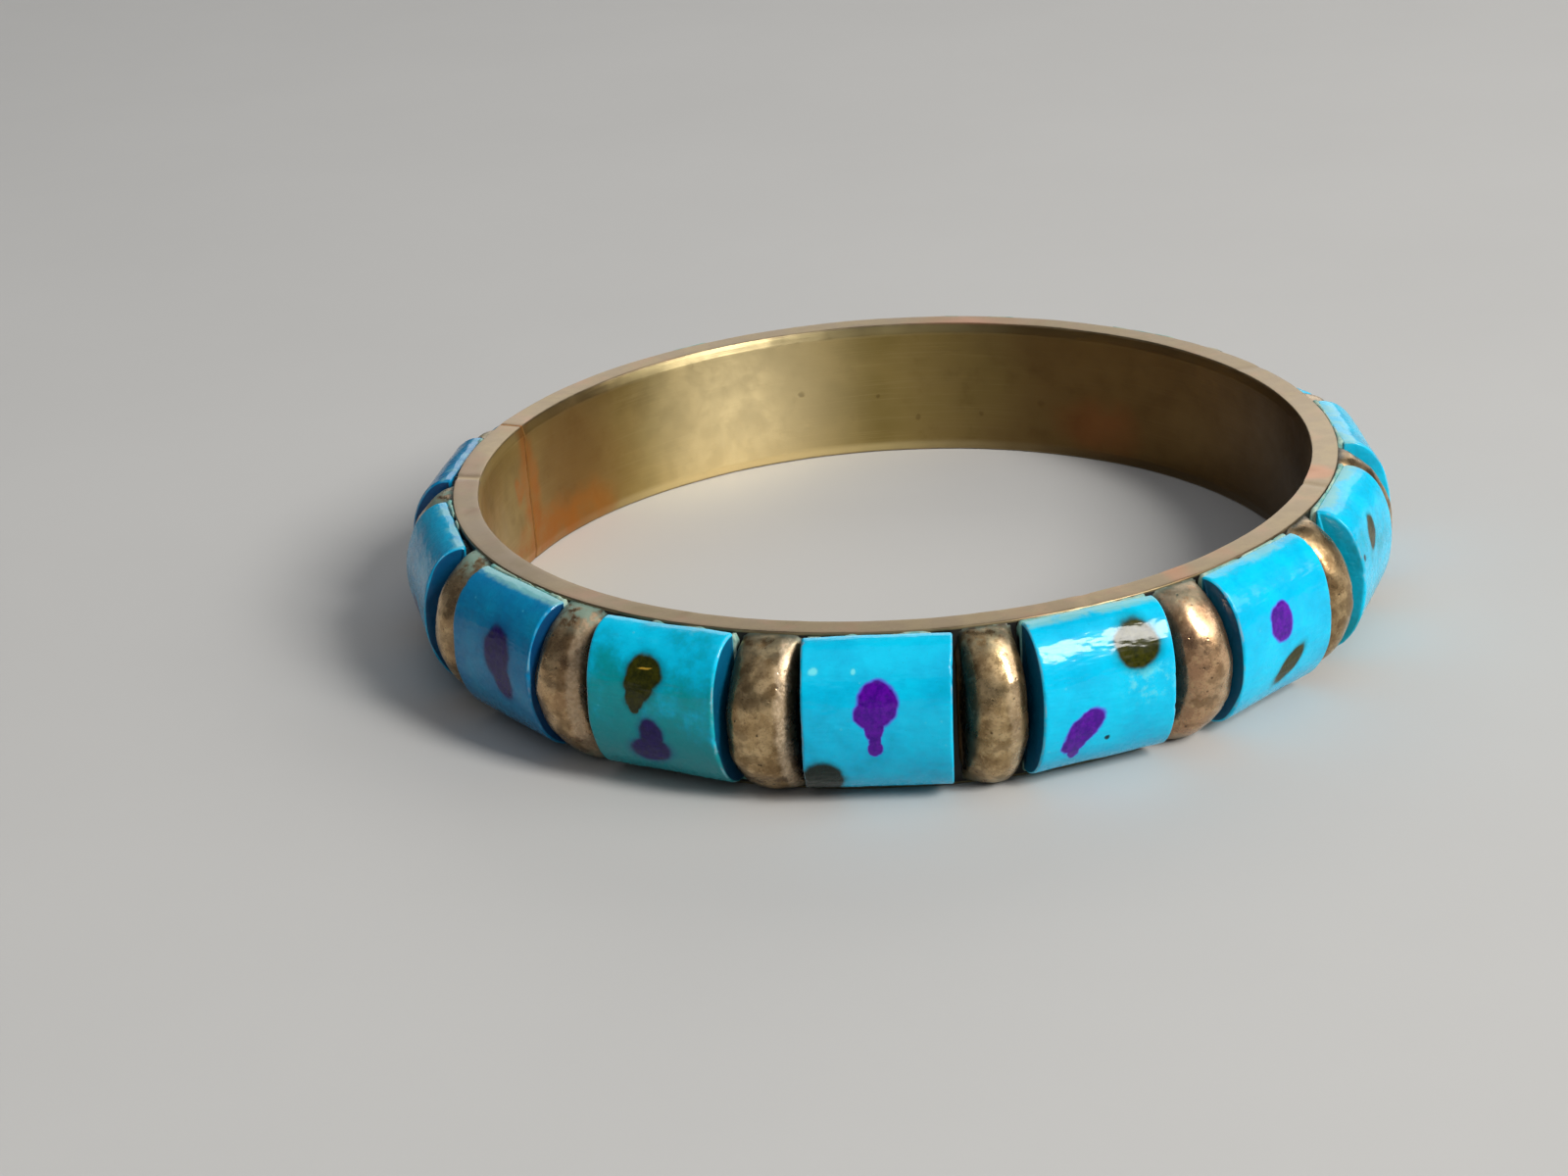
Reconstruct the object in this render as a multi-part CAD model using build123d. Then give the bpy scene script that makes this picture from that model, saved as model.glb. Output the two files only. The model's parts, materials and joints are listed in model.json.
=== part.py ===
from build123d import *
import os

# Rigid bangle bracelet: a plain brass band with straight D-section tiles cemented round its
# outside and a half-round cast brass spacer soldered between each pair.
#
# Frame, in millimetres: origin at the centre of the wrist opening at mid height, +Z along the
# ring's axis. The first tile is centred on -Y and the others follow towards +X.
# Pieces are drawn in a local frame, X tangential, Y outward from the axis, Z up, and turned
# into place about Z.

# Band: the size of the wrist opening and its flat-sided section
BORE_RADIUS = 31.75
WALL = 2.15
BAND_HEIGHT = 11.7
LIP_HEIGHT = 0.85
LIP_FLARE = 0.18
EDGE_BREAK = 0.12

# Butt seam of the rolled band, closed with solder behind a spacer
SEAM_WIDTH = 0.35
SEAM_PITCH = -4.5

# Pieces round the band
TILE_COUNT = 15
PITCH = 360 / TILE_COUNT

# Tiles: flat back, short flat top and bottom, elliptical face
TILE_LENGTH = 9.8
TILE_PROUD = 3.8
TILE_SHOULDER = 0.45
TILE_TOP_DROP = 0.25
TILE_FOOT_LIFT = 0.5
TILE_ARRIS = 0.2
GLUE_GAP = 0.15
GLUE_INSET = 0.6

# Spacers: a section with a domed crown, swung round a tangential axis
SPACER_WIDTH = 4.2
SPACER_PROUD = 4.1
SPACER_END_STEP = 0.65
SPACER_DOME = 1.7
SPACER_END_GAP = 0.1
SOLDER_GAP = 0.15
SOLDER_WIDTH = 3.0
SOLDER_HEIGHT = 9.0

OUTER_RADIUS = BORE_RADIUS + WALL
HALF_HEIGHT = BAND_HEIGHT / 2
TILE_TOP = HALF_HEIGHT - TILE_TOP_DROP
TILE_FOOT = TILE_FOOT_LIFT - HALF_HEIGHT
TILE_BACK = OUTER_RADIUS + GLUE_GAP
SPACER_TOP = HALF_HEIGHT - SPACER_END_GAP


def place(shape, pitches):
    """Turn a local piece to its place, a number of pitches on from the -Y axis."""
    return Rot(0, 0, 180 + pitches * PITCH) * shape


def band_ring():
    """The whole turned ring: straight bore, flared lips, lightly broken outer edges."""
    lip_radius = BORE_RADIUS + LIP_FLARE
    section = Polyline(
        (BORE_RADIUS, LIP_HEIGHT - HALF_HEIGHT),
        (lip_radius, -HALF_HEIGHT),
        (OUTER_RADIUS - EDGE_BREAK, -HALF_HEIGHT),
        (OUTER_RADIUS, EDGE_BREAK - HALF_HEIGHT),
        (OUTER_RADIUS, HALF_HEIGHT - EDGE_BREAK),
        (OUTER_RADIUS - EDGE_BREAK, HALF_HEIGHT),
        (lip_radius, HALF_HEIGHT),
        (BORE_RADIUS, HALF_HEIGHT - LIP_HEIGHT),
        close=True,
    )
    return revolve(Plane.XZ * make_face(section), Axis.Z)


def seam_cutter():
    """A narrow upright slot through the wall, at the ends of the rolled strip."""
    slot = Pos(0, BORE_RADIUS + WALL / 2, 0) * Box(SEAM_WIDTH, 4 * WALL, 2 * BAND_HEIGHT)
    return place(slot, SEAM_PITCH)


def band():
    return band_ring() - seam_cutter()


def band_seam():
    """The solder that fills the slot, flush with the band on every side."""
    return band_ring() & seam_cutter()


def tile():
    """A straight bar of D section with softened ends."""
    middle = (TILE_TOP + TILE_FOOT) / 2
    shoulder = OUTER_RADIUS + TILE_SHOULDER
    sides = Polyline(
        (shoulder, TILE_FOOT),
        (TILE_BACK, TILE_FOOT),
        (TILE_BACK, TILE_TOP),
        (shoulder, TILE_TOP),
    )
    face = EllipticalCenterArc(
        (shoulder, middle),
        TILE_PROUD - TILE_SHOULDER,
        (TILE_TOP - TILE_FOOT) / 2,
        start_angle=-90,
        arc_size=180,
    )
    section = Plane.YZ * make_face([*sides.edges(), face.edge()])
    bar = extrude(section, TILE_LENGTH / 2, both=True)
    crown = bar.faces().sort_by(Axis.Y)[-1]
    ends = crown.edges().filter_by(lambda edge: abs(edge.center().X) > TILE_LENGTH / 4)
    return fillet(ends, TILE_ARRIS)


def tile_glue():
    """The bed of cement between a tile's flat back and the round band."""
    length = TILE_LENGTH - 2 * GLUE_INSET
    height = TILE_TOP - TILE_FOOT - 2 * GLUE_INSET
    bed = Pos(0, TILE_BACK - WALL / 2, (TILE_TOP + TILE_FOOT) / 2) * Box(length, WALL, height)
    return bed - Cylinder(OUTER_RADIUS, 2 * BAND_HEIGHT)


def ring_zone(inner, outer, height, width):
    """The space between two cylinders about Z, on the +Y side, height tall and width across."""
    shell = Cylinder(outer, height) - Cylinder(inner, height)
    return shell & Pos(0, outer / 2, 0) * Box(width, outer, height)


def spacer():
    """A half-round bar whose crown is an arc in the upright plane and domed across."""
    rise = SPACER_PROUD - SPACER_END_STEP
    crown_radius = (SPACER_TOP**2 + rise**2) / (2 * rise)
    axis_y = OUTER_RADIUS + SPACER_PROUD - crown_radius
    dome_y = OUTER_RADIUS + SPACER_PROUD - SPACER_DOME
    half = SPACER_WIDTH / 2
    flanks = Polyline(
        (half, dome_y),
        (half, axis_y + SPACER_END_STEP),
        (-half, axis_y + SPACER_END_STEP),
        (-half, dome_y),
    )
    dome = EllipticalCenterArc((0, dome_y), half, SPACER_DOME, start_angle=0, arc_size=180)
    section = make_face([*flanks.edges(), dome.edge()])
    wheel = revolve(section, Axis((0, axis_y, 0), (1, 0, 0)))
    reach = OUTER_RADIUS + 2 * SPACER_PROUD
    zone = ring_zone(OUTER_RADIUS + SOLDER_GAP, reach, 2 * SPACER_TOP, 2 * SPACER_WIDTH)
    return wheel & zone


def spacer_solder():
    """One thin pad of solder under each spacer, all in one group."""
    pad = ring_zone(OUTER_RADIUS, OUTER_RADIUS + SOLDER_GAP, SOLDER_HEIGHT, SOLDER_WIDTH)
    return Compound([place(pad, i + 0.5).solid() for i in range(TILE_COUNT)])


def write(shape, node):
    export_step(shape, f"parts/{node}.step")


os.makedirs("parts", exist_ok=True)
write(band(), "band")
write(band_seam(), "band_seam")
write(spacer_solder(), "spacer_solder")
one_tile = tile()
one_bed = tile_glue()
one_spacer = spacer()
for i in range(TILE_COUNT):
    number = f"{i + 1:02d}"
    write(place(one_tile, i), f"tile_{number}")
    write(place(one_bed, i), f"tile_glue_{number}")
    write(place(one_spacer, i + 0.5), f"spacer_{number}")
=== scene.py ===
import json
import math

import bpy
import numpy as np
from mathutils import Matrix, Vector


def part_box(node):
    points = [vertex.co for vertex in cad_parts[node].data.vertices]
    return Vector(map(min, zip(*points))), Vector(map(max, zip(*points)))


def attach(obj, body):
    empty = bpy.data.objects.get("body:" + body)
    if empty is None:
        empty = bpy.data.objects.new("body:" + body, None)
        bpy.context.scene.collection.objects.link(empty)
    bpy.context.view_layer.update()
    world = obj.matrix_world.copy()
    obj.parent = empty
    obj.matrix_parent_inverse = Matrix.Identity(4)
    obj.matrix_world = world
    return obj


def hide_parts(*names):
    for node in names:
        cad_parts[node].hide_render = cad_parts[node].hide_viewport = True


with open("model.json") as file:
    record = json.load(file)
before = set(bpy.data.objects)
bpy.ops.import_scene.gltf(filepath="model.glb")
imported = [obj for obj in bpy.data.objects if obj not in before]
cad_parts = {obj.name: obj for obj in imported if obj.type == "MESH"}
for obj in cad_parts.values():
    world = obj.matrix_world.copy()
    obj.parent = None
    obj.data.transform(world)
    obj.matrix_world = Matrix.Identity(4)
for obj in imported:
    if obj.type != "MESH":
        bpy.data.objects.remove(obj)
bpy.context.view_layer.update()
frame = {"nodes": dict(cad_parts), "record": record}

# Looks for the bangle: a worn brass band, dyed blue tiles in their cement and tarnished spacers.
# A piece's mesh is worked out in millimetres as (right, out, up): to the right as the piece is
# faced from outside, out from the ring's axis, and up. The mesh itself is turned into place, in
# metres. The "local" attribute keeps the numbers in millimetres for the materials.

MM = 0.001
TURN = 2 * math.pi

# Sizes read from the frame, in millimetres
BORE_SIZES = next(m["dims"] for m in frame["record"]["mounts"] if m["name"] == "wrist_bore")
BORE = BORE_SIZES["r_mm"]
STRAIGHT_WALL = BORE_SIZES["length_mm"]
OUTER = max(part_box("band")[1]) / MM
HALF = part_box("band")[1].z / MM
TILE_LOW, TILE_HIGH = (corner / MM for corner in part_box("tile_01"))
TILE_CROWN = -TILE_LOW.y
TILE_REACH = TILE_HIGH.x
TILE_COUNT = sum(name.startswith("spacer_") for name in frame["nodes"]) - 1
PITCH = TURN / TILE_COUNT
SPACER_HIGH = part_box("spacer_08")[1] / MM
SPACER_CROWN = SPACER_HIGH.y
SPACER_HALF = SPACER_HIGH.x
SPACER_TOP = SPACER_HIGH.z

# Details that the frame doesn't hold, in millimetres
LIP_FLARE = 0.18
TILE_SHOULDER = 0.45
TILE_BACK_GAP = 0.08
SPACER_END_STEP = 0.65
SPACER_DOME = 1.7
SEAM_PITCH = -4.5
SEAM_HALF = 0.17
# How far the pieces set on the band reach into it, and the least height of a tile over the base
BEDDED = 0.03
BASE_CLEAR = 0.03

# The hidden tiles that sit lowest and the hidden spacers filed down most, one at each side
LOWEST_TILES = (6, 11)
LOWEST_SPACERS = (5, 11)


# -------------------- mesh helpers


def lumps(points, size, seed, waves=14):
    """Smooth noise of about -1 to 1 at points, in swells about size across."""
    draw = np.random.default_rng(seed)
    way = draw.normal(size=(waves, 3))
    way /= np.linalg.norm(way, axis=1, keepdims=True)
    way *= TURN / size * draw.uniform(0.6, 1.5, (waves, 1))
    phase = draw.uniform(0, TURN, waves)
    return np.sin(points @ way.T + phase).sum(axis=-1) / math.sqrt(waves)


def smoothstep(value, low, high):
    share = np.clip((value - low) / (high - low), 0, 1)
    return share * share * (3 - 2 * share)


def rounded(corners, radii, steps=5):
    """A closed outline with each corner turned into an arc of its own radius."""
    outline = []
    for i, corner in enumerate(corners):
        here = np.array(corner, float)
        back = np.array(corners[i - 1], float) - here
        on = np.array(corners[(i + 1) % len(corners)], float) - here
        back /= np.linalg.norm(back)
        on /= np.linalg.norm(on)
        half = math.acos(np.clip(back @ on, -1, 1)) / 2
        middle = (back + on) / np.linalg.norm(back + on)
        centre = here + middle * radii[i] / math.sin(half)
        start = here + back * radii[i] / math.tan(half) - centre
        end = here + on * radii[i] / math.tan(half) - centre
        for share in np.linspace(0, 1, steps):
            arm = start * (1 - share) + end * share
            outline.append(centre + arm * radii[i] / np.linalg.norm(arm))
    return np.array(outline)


def densify(outline, spacing, closed=True):
    """The same outline with no stretch between points longer than spacing."""
    points = []
    count = len(outline) if closed else len(outline) - 1
    for i in range(count):
        start, end = outline[i], outline[(i + 1) % len(outline)]
        parts = max(1, math.ceil(np.linalg.norm(end - start) / spacing))
        points += [start + (end - start) * k / parts for k in range(parts)]
    if not closed:
        points.append(outline[-1])
    return np.array(points)


def pointing_in(outline):
    """Unit normals into a closed outline, one at each point."""
    along = np.roll(outline, -1, axis=0) - np.roll(outline, 1, axis=0)
    along /= np.linalg.norm(along, axis=1, keepdims=True)
    inward = np.stack([along[:, 1], -along[:, 0]], axis=1)
    towards = np.sum(inward * (outline.mean(axis=0) - outline))
    return inward if towards > 0 else -inward


def at(points, turn):
    """Takes (right, out, up) points to their place, turned on from -Y towards +X."""
    right, out, up = np.asarray(points, float).T
    sine, cosine = math.sin(turn), math.cos(turn)
    return np.column_stack([out * sine + right * cosine, right * sine - out * cosine, up])


def build(name, placed, faces, local, **attributes):
    """A smooth mesh object from placed points in millimetres, with values for the materials."""
    mesh = bpy.data.meshes.new(name)
    mesh.from_pydata((placed * MM).tolist(), [], [list(face) for face in faces])
    pattern = mesh.attributes.new("local", "FLOAT_VECTOR", "POINT")
    pattern.data.foreach_set("vector", np.asarray(local, np.float32).ravel())
    for key, values in attributes.items():
        layer = mesh.attributes.new(key, "FLOAT", "POINT")
        layer.data.foreach_set("value", np.asarray(values, np.float32).ravel())
    mesh.validate()
    mesh.update()
    mesh.shade_smooth()
    piece = bpy.data.objects.new(name, mesh)
    bpy.context.scene.collection.objects.link(piece)
    return piece


def face_outwards(mesh):
    """Turns a closed mesh's faces so that they all look out of it."""
    mesh.calc_loop_triangles()
    corners = np.array([[mesh.vertices[v].co for v in t.vertices] for t in mesh.loop_triangles])
    volume = np.sum(corners[:, 0] * np.cross(corners[:, 1], corners[:, 2]))
    if volume < 0:
        mesh.flip_normals()


def tube_faces(rings, around):
    """Quads between rings of points that each close on themselves."""
    faces = []
    for i in range(rings - 1):
        low = i * around
        high = low + around
        for j in range(around):
            k = (j + 1) % around
            faces.append((low + j, low + k, high + k, high + j))
    return faces


def capped(rings, shrink):
    """Closes a stack of rings with shrinking rings and a fan at each end.

    Gives the points, the faces, and the slice of the points that is the given rings.
    """
    ends = []
    for ring in (rings[0], rings[-1]):
        centre = ring.mean(axis=0)
        ends.append([centre + (ring - centre) * share for share in shrink])
    stack = ends[0][::-1] + list(rings) + ends[1]
    around = len(rings[0])
    points = np.concatenate(stack)
    faces = tube_faces(len(stack), around)
    first, last = len(points), len(points) + 1
    far = (len(stack) - 1) * around
    for j in range(around):
        k = (j + 1) % around
        faces.append((first, k, j))
        faces.append((last, far + j, far + k))
    points = np.vstack([points, stack[0].mean(axis=0), stack[-1].mean(axis=0)])
    body = slice(len(shrink) * around, (len(shrink) + len(rings)) * around)
    return points, faces, body


def finish_piece(piece, slot, material, *nodes):
    face_outwards(piece.data)
    piece.data.materials.append(material)
    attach(piece, "root")
    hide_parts(*nodes)


# -------------------- node helpers


def srgb(red, green, blue):
    """A colour given as it looks on a screen, 0 to 255, as a linear node colour."""
    shares = (value / 255 for value in (red, green, blue))
    linear = [s / 12.92 if s <= 0.04045 else ((s + 0.055) / 1.055) ** 2.4 for s in shares]
    return (*linear, 1.0)


class Graph:
    """One material's nodes, built by calls that return sockets."""

    def __init__(self, name):
        self.material = bpy.data.materials.new(name)
        self.material.use_nodes = True
        self.nodes = self.material.node_tree.nodes
        self.links = self.material.node_tree.links
        self.nodes.clear()
        self.shader = self.nodes.new("ShaderNodeBsdfPrincipled")
        output = self.nodes.new("ShaderNodeOutputMaterial")
        self.links.new(self.shader.outputs[0], output.inputs[0])

    def put(self, socket, value):
        if isinstance(value, bpy.types.NodeSocket):
            self.links.new(value, socket)
        else:
            socket.default_value = value

    def add(self, kind, inputs, out=0, **settings):
        node = self.nodes.new(kind)
        for key, value in settings.items():
            setattr(node, key, value)
        for key, value in inputs.items():
            self.put(node.inputs[key], value)
        return node.outputs[out]

    def attribute(self, name, out="Vector"):
        return self.add("ShaderNodeAttribute", {}, out, attribute_name=name)

    def math(self, operation, first, second=0.0, clamp=False):
        return self.add(
            "ShaderNodeMath", {0: first, 1: second}, operation=operation, use_clamp=clamp
        )

    def plus(self, first, second):
        return self.math("ADD", first, second)

    def minus(self, first, second):
        return self.math("SUBTRACT", first, second)

    def times(self, first, second):
        return self.math("MULTIPLY", first, second)

    def vector(self, operation, first, second=(0, 0, 0), out=0):
        return self.add(
            "ShaderNodeVectorMath", {0: first, 1: second}, out, operation=operation
        )

    def split(self, vector, axis):
        return self.add("ShaderNodeSeparateXYZ", {0: vector}, "XYZ".index(axis))

    def noise(self, vector, scale, detail=3.0, roughness=0.5, out="Fac"):
        return self.add(
            "ShaderNodeTexNoise",
            {"Vector": vector, "Scale": scale, "Detail": detail, "Roughness": roughness},
            out,
        )

    def cells(self, vector, scale, out="Distance"):
        return self.add("ShaderNodeTexVoronoi", {"Vector": vector, "Scale": scale}, out)

    def step(self, value, low, high, start=0.0, end=1.0):
        """start below low, end above high, and a smooth change between."""
        return self.add(
            "ShaderNodeMapRange",
            {"Value": value, "From Min": low, "From Max": high, "To Min": start, "To Max": end},
            interpolation_type="SMOOTHSTEP",
        )

    def mix(self, share, first, second):
        node = self.nodes.new("ShaderNodeMix")
        node.data_type = "RGBA"
        self.put(node.inputs[0], share)
        self.put(node.inputs[6], first)
        self.put(node.inputs[7], second)
        return node.outputs[2]

    def wobble(self, vector, scale, reach):
        """A small shift this way and that, for ragged edges."""
        shift = self.noise(vector, scale, 3.0, out="Color")
        shift = self.vector("SUBTRACT", shift, (0.5, 0.5, 0.5))
        return self.vector("MULTIPLY", shift, (reach, reach, reach))

    def spot(self, vector, centre, reach, rotation, soft):
        """1 inside an ellipsoid and 0 beyond it."""
        mapped = self.add(
            "ShaderNodeMapping",
            {"Vector": vector, "Location": centre, "Rotation": rotation, "Scale": reach},
            vector_type="TEXTURE",
        )
        away = self.vector("LENGTH", mapped, out="Value")
        return self.step(away, 1 - soft, 1 + soft, 1.0, 0.0)

    def most(self, masks):
        result = masks[0]
        for mask in masks[1:]:
            result = self.math("MAXIMUM", result, mask)
        return result

    def bump(self, height, distance, strength):
        inputs = {"Height": height, "Distance": distance, "Strength": strength}
        return self.add("ShaderNodeBump", inputs)

    def finish(self, **inputs):
        """Sets the shader's sockets, named with _ for a space, and gives the material."""
        for key, value in inputs.items():
            self.put(self.shader.inputs[key.replace("_", " ")], value)
        return self.material


# -------------------- tiles


# Spots are (kind, right, up, half width, half height, turn) on a tile's face, with the turn in
# degrees counter-clockwise. The other entries are how green its dye is, how deep a blue it is,
# partly deeper dye and partly painted shade, and how dark its foot is painted, partly pooled dye
# and partly painted shade, how full its cement is and how uneven, how chalky its top edge is, and
# how far it stands to the right, how much it leans, how far it stands up and how much longer it is
# cut than the rest. Where its sawn ends are painted less dark with shade than most, it says how dark.
TILES = {
    1: dict(
        spots=[
            ("purple", 0.05, 1.95, 1.3, 1.5, 0),
            ("purple", -0.6, 1.45, 0.85, 0.95, 0),
            ("purple", -0.2, 0.45, 0.62, 1.0, 0),
            ("purple", -0.15, -0.4, 0.34, 0.9, 0),
            ("purple", -0.1, -1.25, 0.47, 0.55, 0),
            ("moss", -3.8, -4.0, 1.45, 1.8, 0),
            ("pale", -4.2, 4.1, 0.3, 0.22, 0),
            ("pale", -1.5, 4.1, 0.16, 0.16, 0),
        ],
        dye=(0.1, 0.0, 0.0),
        cement=(0.75, 0.3),
        chalk=0.1,
        stand=(-0.13, 0.03, 0.19, 0.27),
    ),
    2: dict(
        spots=[
            ("olive", 2.25, 3.5, 1.6, 1.5, 0),
            ("purple", -1.9, -1.5, 1.7, 0.95, 45),
            ("purple", -2.6, -2.5, 0.9, 0.75, 40),
            ("purple", -2.5, -3.2, 0.4, 0.7, 0),
            ("speck", -0.15, -2.6, 0.2, 0.2, 0),
            ("cloud", 3.0, 0.9, 1.9, 1.3, 0),
        ],
        dye=(0.0, 0.0, 0.0),
        cement=(1.0, 0.0),
        chalk=0.8,
        stand=(0.15, 0.02, 0.2, 0.0),
    ),
    3: dict(
        spots=[
            ("purple", -0.65, 1.55, 1.1, 1.35, 15),
            ("purple", -0.5, 2.2, 0.8, 0.85, 0),
            ("olive", 0.35, -1.95, 1.75, 0.75, 38),
        ],
        dye=(0.0, 0.0, 0.0),
        cement=(1.0, 0.1),
        chalk=0.5,
        stand=(0.1, 0.0, 0.18, 0.2),
    ),
    4: dict(
        spots=[
            ("olive", -0.9, 2.7, 1.3, 0.75, 40),
            ("speck", -4.2, 2.0, 0.25, 0.25, 0),
        ],
        dye=(0.5, 0.0, 0.0),
        grime=0.15,
        cement=(1.0, 0.0),
        chalk=0.85,
        stand=(0.0, -0.01, 0.15, 0.0),
    ),
    5: dict(
        spots=[("purple", -1.4, -0.8, 1.2, 1.0, -10)],
        dye=(0.2, 0.0, 0.0),
        grime=0.05,
        cement=(1.0, 0.1),
        chalk=0.7,
        stand=(0.0, 0.0, 0.05, 0.0),
    ),
    12: dict(
        spots=[("olive", 0.6, 0.4, 1.2, 1.0, 20)],
        dye=(0.0, 0.9, 0.3),
        cement=(0.5, 0.3),
        chalk=0.4,
        stand=(0.0, 0.0, 0.0, 0.0),
    ),
    13: dict(
        spots=[("plum", -1.0, -1.2, 1.4, 1.1, 20)],
        dye=(0.35, 0.5, 0.4),
        cement=(0.8, 0.4),
        chalk=0.5,
        stand=(0.0, 0.0, 0.05, 0.0),
    ),
    14: dict(
        spots=[
            ("plum", 0.9, 1.5, 1.55, 1.9, 0),
            ("plum", 1.5, -0.3, 1.1, 1.5, 15),
        ],
        dye=(0.0, 0.85, 0.55),
        cement=(1.0, 0.1),
        chalk=0.9,
        stand=(-0.05, 0.0, 0.15, 0.0),
    ),
    15: dict(
        spots=[
            ("olive", -0.45, 3.05, 1.4, 1.2, 10),
            ("olive", -0.75, 2.3, 1.2, 1.1, -15),
            ("olive", -1.05, 1.5, 0.8, 1.0, -10),
            ("olive", -1.15, 0.8, 0.42, 0.6, 0),
            # A painted glint near the top
            ("scratch", -0.4, 3.4, 0.5, 0.07, 5),
            ("plum", -0.1, -1.3, 0.9, 1.3, 0),
            ("plum", -0.3, -2.6, 1.6, 1.0, 8),
        ],
        dye=(1.0, 0.0, 0.5),
        cement=(0.8, 0.3),
        chalk=0.1,
        stand=(-0.42, 0.0, 0.19, 0.15),
    ),
}


def drawn_look(number):
    """The look of a tile of the far side, drawn from its number."""
    draw = np.random.default_rng(400 + number)
    spots = []
    for kind in draw.permutation(["purple", "olive", "purple"])[: 2 + number % 2]:
        right, up = draw.uniform(-3.4, 3.4), draw.uniform(-3.2, 3.4)
        reach, turn = draw.uniform(0.8, 1.4), draw.uniform(-40, 40)
        spots.append((str(kind), right, up, reach, reach * draw.uniform(0.7, 1.2), turn))
        # A blot runs a little way before it dries
        run = reach * draw.uniform(0.6, 0.9)
        spots.append((str(kind), right - 0.3 * run, up - run, 0.6 * reach, 0.8 * reach, turn))
    if number % 3 == 0:
        spots.append(("cloud", draw.uniform(-3, 3), draw.uniform(-2, 2), 1.6, 1.2, 0))
    low = 0.75 if number in LOWEST_TILES else 0.45
    stand = (
        draw.uniform(-0.12, 0.12),
        draw.uniform(-0.02, 0.02),
        draw.uniform(-low, 0.05 - low),
        draw.uniform(-0.1, 0.12),
    )
    return dict(
        spots=spots,
        dye=(draw.uniform(0, 0.6), draw.uniform(0, 0.5), draw.uniform(0, 0.4)),
        cement=(draw.uniform(0.3, 0.9), 0.3),
        chalk=draw.uniform(0, 0.5),
        stand=stand,
    )


def tile_outline():
    """The D section as (out, up): across the flat back, the short flat top, and the face."""
    middle = (TILE_HIGH.z + TILE_LOW.z) / 2
    half = (TILE_HIGH.z - TILE_LOW.z) / 2
    shoulder = OUTER + TILE_SHOULDER
    back = OUTER + TILE_BACK_GAP
    corners = [(back, -half), (back, half), (shoulder, half), (shoulder, -half)]
    # Of the four corners only the two at the back are kept, as arcs of five points each
    flat = rounded(corners, [0.18, 0.18, 0.001, 0.001])[:10]
    swing = np.linspace(math.pi / 2, -math.pi / 2, 57)
    reach = TILE_CROWN - shoulder
    face = np.stack([shoulder + reach * np.cos(swing), half * np.sin(swing)], axis=1)
    outline = np.vstack([densify(flat, 0.4, closed=False), densify(face, 0.3, closed=False)])
    return outline + (0, middle)


def tile_rings(number, outline, longer, draw):
    """Sections from end to end, each with its share of arris wear and of the sawn end."""
    inward = pointing_in(outline)
    section = np.column_stack([np.zeros(len(outline)), outline])
    arris = np.clip(0.2 + 0.05 * lumps(section, 4.0, 900 + number), 0.12, 0.3)
    reach = TILE_REACH + longer / 2
    ends = []
    for side in (-1, 1):
        skew = draw.uniform(-0.01, 0.01) * outline[:, 1]
        cut = reach + skew + 0.015 * lumps(section, 5.0, 950 + 2 * number + side)
        rings = []
        for arc in np.linspace(0, math.pi / 2, 6):
            right = side * (cut - arris * (1 - math.sin(arc)))
            inset = inward * (arris * (1 - math.cos(arc)))[:, None]
            ring = np.column_stack([right, outline + inset])
            rings.append((ring, max(0.35, math.sin(2 * arc)), (arc * 2 / math.pi) ** 2))
        ends.append(rings)
    # The straight body runs between the first rings of the two rounded ends
    left, right = ends[0][0][0][:, 0], ends[1][0][0][:, 0]
    body = []
    for share in np.linspace(0, 1, 61)[1:-1]:
        ring = np.column_stack([left + (right - left) * share, outline])
        body.append((ring, 0.0, 0.0))
    return ends[0][::-1] + body + ends[1]


def chip(points, wear, draw, centre):
    """Knocks small dents out of the arrises."""
    for k in draw.choice(np.flatnonzero(wear > 0.8), 7):
        size = draw.uniform(0.1, 0.28)
        away = np.linalg.norm(points - points[k], axis=1)
        dent = np.clip(1 - (away / size) ** 2, 0, 1)
        inner = np.array([0, *centre]) - points[k]
        points += dent[:, None] * 0.25 * size * inner / np.linalg.norm(inner)
        wear = np.maximum(wear, smoothstep(dent, 0.05, 0.5))
    return wear


def tile_piece(number):
    look = TILES.get(number) or drawn_look(number)
    draw = np.random.default_rng(20 + number)
    outline = tile_outline()
    centre = outline.mean(axis=0)
    shift, lean, rise, longer = look["stand"]
    stack = tile_rings(number, outline, longer, draw)
    points, faces, body = capped([ring for ring, worn, sawn in stack], (0.92, 0.7, 0.4))
    around = len(outline)
    wear = np.zeros(len(points))
    sawn_end = np.ones(len(points))
    wear[body] = np.repeat([worn for ring, worn, sawn in stack], around)
    sawn_end[body] = np.repeat([sawn for ring, worn, sawn in stack], around)
    # Grinding by hand leaves the faces slightly uneven
    out = points - (0, *centre)
    out[:, 0] *= 0.15
    out /= np.linalg.norm(out, axis=1, keepdims=True)
    uneven = 0.03 * lumps(points, 6.0, 30 + number) + 0.005 * lumps(points, 1.3, 60 + number)
    points += out * (uneven - 0.03)[:, None]
    wear = chip(points, wear, draw, centre)
    points[:, 2] = np.clip(points[:, 2], TILE_LOW.z, TILE_HIGH.z)
    points[:, 1] = np.minimum(points[:, 1], TILE_CROWN)
    stood = points + np.outer(shift + lean * points[:, 2], (1, 0, 0)) + (0, 0, rise)
    stood[:, 2] = np.maximum(stood[:, 2], BASE_CLEAR - HALF)
    turn = (number - 1) * PITCH
    name = f"blue_tile_{number:02d}"
    piece = build(name, at(stood, turn), faces, points, wear=wear, sawn=sawn_end)
    finish_piece(piece, "tile_blue", tile_paint(number, look), f"tile_{number:02d}")


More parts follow.
